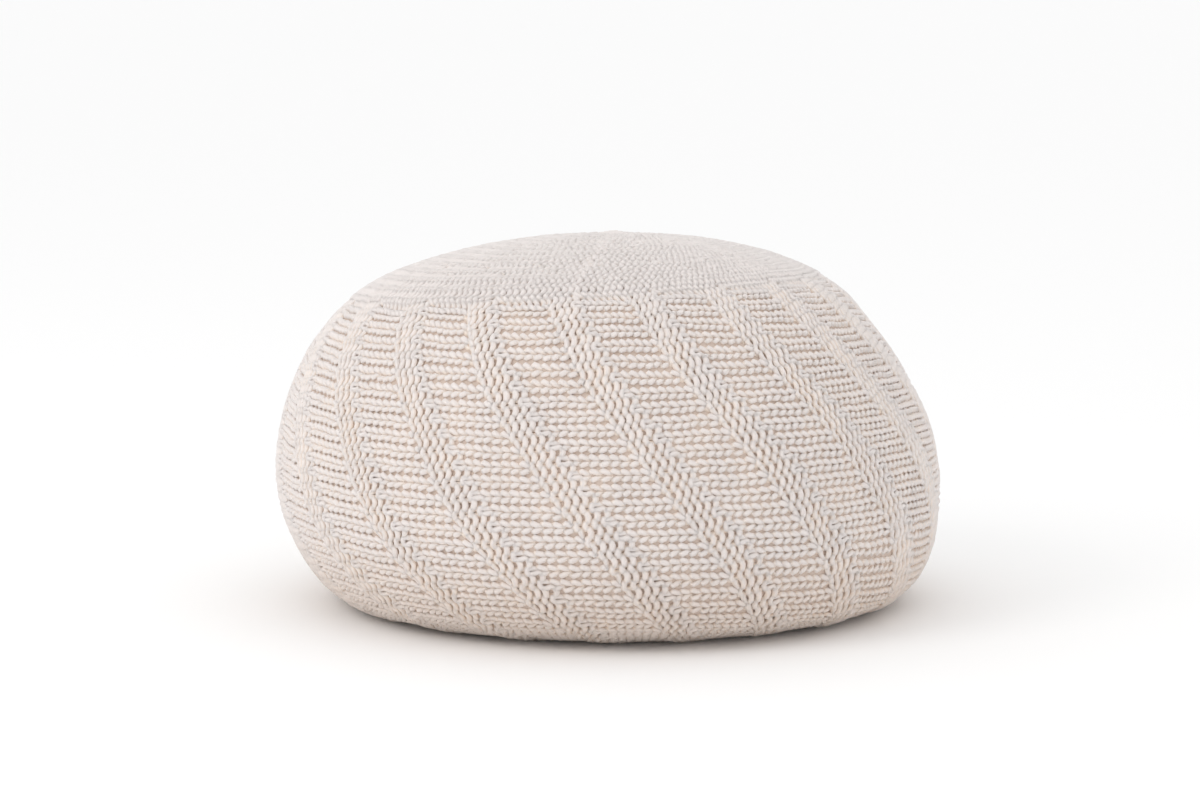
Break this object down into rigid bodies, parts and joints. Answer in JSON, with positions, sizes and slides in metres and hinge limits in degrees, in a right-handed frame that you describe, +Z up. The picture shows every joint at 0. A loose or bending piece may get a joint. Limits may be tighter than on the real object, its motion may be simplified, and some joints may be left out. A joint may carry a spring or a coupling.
{
  "type": "knitted pouf",
  "caption": "Low round knitted cotton pouf with slanting raised bands and sunken ribbed blocks on its side, a smooth gathered crown and a flat underside.",
  "frame": {"origin": "middle of the flat underside, at the centre of the plan", "axes": "+Z up through the gathered crown, -Y toward the side seen in the picture, +X to its right"},
  "size_m": [0.5488, 0.5506, 0.3056],
  "materials": {
    "cotton_yarn": "thick undyed cotton yarn, matt"
  },
  "bodies": {
    "root": {"knitted_pouf": "cotton_yarn"}
  },
  "joints": []
}
